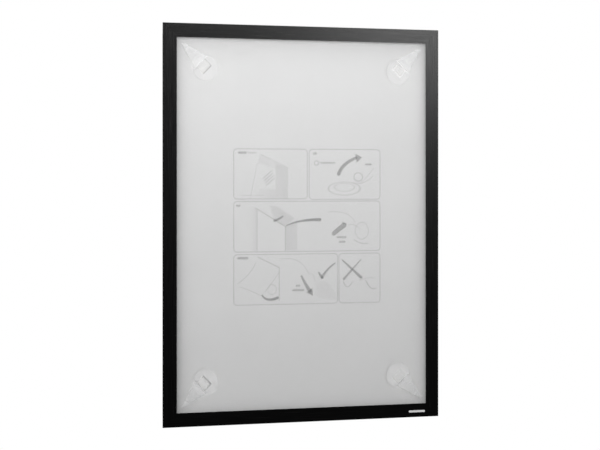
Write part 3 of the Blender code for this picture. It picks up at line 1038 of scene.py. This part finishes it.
# %% Fourth panel: peel the corner and pull
stroke([(4.5, 122.5), (14.5, 122.5)], 1.3, MIDDLE)
stroke([(27, 121.6), (51.8, 133.5)], 0.45, LIGHT)
stroke([(51.8, 133.5), (51.8, 170.5)], 0.4, LIGHT)
stroke([(24, 128), (18, 142), (4, 150.5)], 0.4, FAINT)
stroke([(6, 154.5), (20, 159), (30, 164.5)], 0.4, FAINT)
stroke([(51.8, 138.5), (44, 150), (34.8, 160.5)], 0.4, FAINT)
ring((43.5, 158), (5, 5.6), 0.4, FAINT)
stroke([(31.9, 164.3), (37, 172.6), (49.9, 167.3)], (0.8, 1.5), HEAVY)
stroke([(78, 143.8), (84, 155), (87.5, 160)], (1.1, 2.2), STRONG)
arrow_head((87.3, 159.5), (91.5, 166), 4.2, STRONG)
stroke([(72.4, 154.1), (75.4, 154.1)], 1.1, MIDDLE)
stroke([(68.3, 159.2), (80, 159.2)], 1.1, MIDDLE)
stroke([(98.6, 140), (102.4, 145.4)], (1.0, 1.6), STRONG)
stroke([(102.4, 145.4), (108, 135.5), (117.8, 129.6)], (1.5, 0.7), STRONG)
stroke([(53, 124), (72, 121), (82, 130), (86, 141)], 0.4, FAINT)
stroke([(86, 141), (93, 139), (94, 150)], 0.4, FAINT)
wash([(95, 151), (108, 150), (120, 165), (120, 171), (97, 168)], (0.04, 0.04))

# %% Fifth panel: not like this
stroke([(126.6, 126.1), (149.2, 146)], (0.7, 1.6), STRONG)
stroke([(148.6, 126.1), (128.6, 147.4)], (0.6, 1.4), 0.36)
stroke([(127.8, 150), (132, 163), (139, 150.5)], 0.4, LIGHT)
stroke([(147, 150), (156, 145.5), (165.5, 147)], 0.4, FAINT)
stroke([(155, 149.5), (160, 162), (167, 158.5)], 0.4, LIGHT)

# %% Label sheet
def printed_polyester():
    """Clear film printed in grey. Without ink it barely shows, and ink hides as much as it is dense."""
    material, tree, shader = start_material("printed_clear_polyester", "#3c3c3d", 0.4, ior=1.5)
    ink = add(tree, "Attribute", attribute_name="ink").outputs["Fac"]
    alpha = add(tree, "MapRange", {"Value": ink, "To Min": 0.0, "To Max": 0.97})
    fill(tree, shader, {"Alpha": alpha})
    return material


label_back, label_front = layer("instruction_label")
front_face = np.stack((label_x, np.full_like(label_x, -label_front), label_z), -1)
back_face = np.stack((label_x, np.full_like(label_x, -label_back), label_z), -1)
label = slab("printed_label", front_face, back_face, {"ink": 1 - clear})
dress(label, printed_polyester())
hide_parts("instruction_label")
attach(label, "rear")
print("label grid:", clear.shape, "darkest ink:", round(float((1 - clear).max()), 2))

# %% [markdown]
# ## Floor, light and camera
#
# The frame hangs at eye height, so the floor is far below it and pale. The floor glows a little, so that
# it looks pale from every side, and it is left out of reflections and of bounced light. A small soft
# light stands in front on the right, a large one hangs above, and one behind is there for the views of
# the back. The large one is what the satin border reflects, and because it is above the frame, the window
# is brightest at the top. The surroundings are white where the camera sees them and almost dark for
# everything else, which keeps the border black where no light is in front of it.

# %% Stage
FLOOR_DROP = 1.25
FLOOR_SIZE = 7.0
ROOM_GLOW = 0.01
FLOOR_GLOW = 0.8

floor_mesh = bpy.data.meshes.new("studio_floor")
half_floor = FLOOR_SIZE / 2
turns = ((-1, -1), (1, -1), (1, 1), (-1, 1))
floor_corners = [(x * half_floor, y * half_floor, -FLOOR_DROP) for x, y in turns]
floor_mesh.from_pydata(floor_corners, [], [(0, 1, 2, 3)])
floor = bpy.data.objects.new("studio_floor", floor_mesh)
bpy.context.scene.collection.objects.link(floor)
paint, tree, shader = start_material("pale_floor_paint", "#e4e4e2", 0.7)
fill(tree, shader, {"Emission Color": linear("#f2f2f0"), "Emission Strength": FLOOR_GLOW})
dress(floor, paint)
floor.visible_glossy = False
floor.visible_diffuse = False


def soft_light(name, place, aim, size, power):
    """A soft box at a place, turned to face another."""
    data = bpy.data.lights.new(name, "AREA")
    data.shape = "RECTANGLE"
    data.size, data.size_y = size
    data.energy = power
    lamp = bpy.data.objects.new(name, data)
    lamp.location = place
    direction = np.array(aim, float) - np.array(place, float)
    lamp.rotation_euler = Vector(direction).to_track_quat("-Z", "Y").to_euler()
    bpy.context.scene.collection.objects.link(lamp)


soft_light("side_light", (1.07, -2.28, 0.61), (0.0, 0.0, 0.05), (0.43, 0.57), 5.6)
soft_light("top_light", (-0.1, -0.7, 0.98), (0.0, 0.0, 0.05), (1.1, 1.33), 28.6)
soft_light("back_light", (-0.9, 1.6, 1.3), (0.0, 0.0, 0.0), (1.2, 1.2), 60)

world = bpy.data.worlds.new("studio")
world.use_nodes = True
bpy.context.scene.world = world
sky = world.node_tree
seen = add(sky, "LightPath").outputs["Is Camera Ray"]
strength = add(sky, "MapRange", {"Value": seen, "To Min": ROOM_GLOW, "To Max": 1.0})
fill(sky, sky.nodes["Background"], {"Color": linear("#ffffff"), "Strength": strength})
bpy.context.scene.view_settings.view_transform = "Standard"

# A ray through one corner crosses window, tab, panel, pad, disc and glue, and its shadow ray some of them.
bpy.context.scene.cycles.transparent_max_bounces = 32

# %% Camera
camera_data = bpy.data.cameras.new("camera")
camera_data.sensor_width = 36.0
camera_data.lens = 103.5
camera_data.shift_x = -0.001
camera_data.shift_y = -0.0675
camera = bpy.data.objects.new("camera", camera_data)
camera.location = (-0.5916, -1.8486 - layer("border_film")[1], 0.0446)
camera.rotation_euler = (math.pi / 2, 0.0, math.radians(-17.63))
bpy.context.scene.collection.objects.link(camera)
bpy.context.scene.camera = camera
